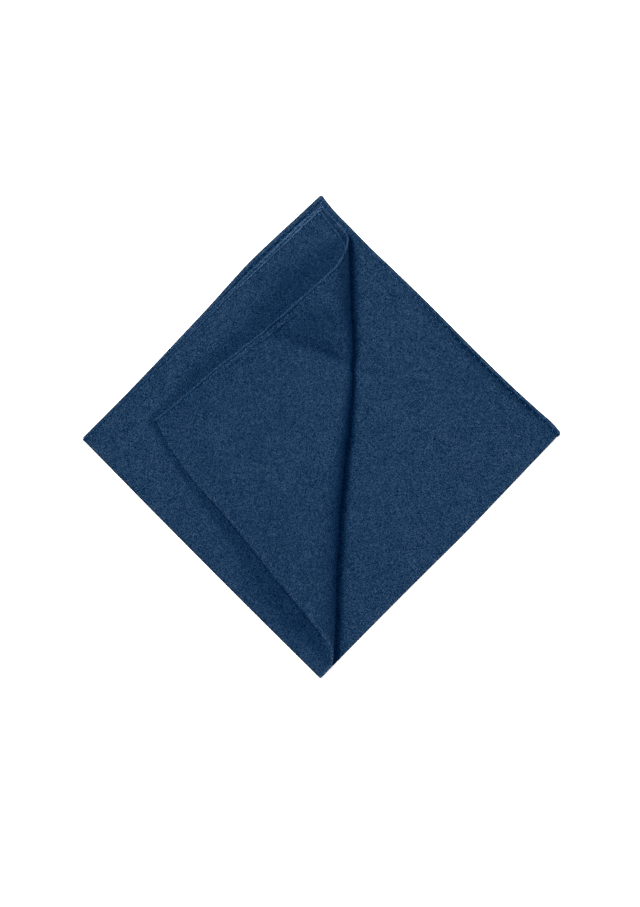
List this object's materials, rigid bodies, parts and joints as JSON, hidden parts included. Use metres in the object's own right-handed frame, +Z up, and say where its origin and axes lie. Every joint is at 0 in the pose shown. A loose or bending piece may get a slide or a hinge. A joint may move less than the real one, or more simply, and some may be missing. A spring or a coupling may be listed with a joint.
{
  "type": "pocket square",
  "caption": "Wool pocket square folded in half twice into a diamond and laid flat, one corner of its upper layers turned back over a soft roll, with rolled hems",
  "frame": {"origin": "under the middle of the folded square, on the surface it lies on", "axes": "+X to the right-hand corner, +Y to the open corner, +Z up from the surface"},
  "size_m": [0.225, 0.2266, 0.0224],
  "materials": {
    "wool_cloth": "brushed melange wool flannel, matt",
    "rolled_hem": "the same cloth rolled under and pick-stitched by hand"
  },
  "bodies": {
    "root": {"lower_layers": "wool_cloth", "upper_layers": "wool_cloth", "turned_corner": "wool_cloth", "fold_bend": "wool_cloth", "lower_hem_left": "rolled_hem", "lower_hem_right": "rolled_hem", "upper_hem_left": "rolled_hem", "turned_hem": "rolled_hem"}
  },
  "joints": []
}
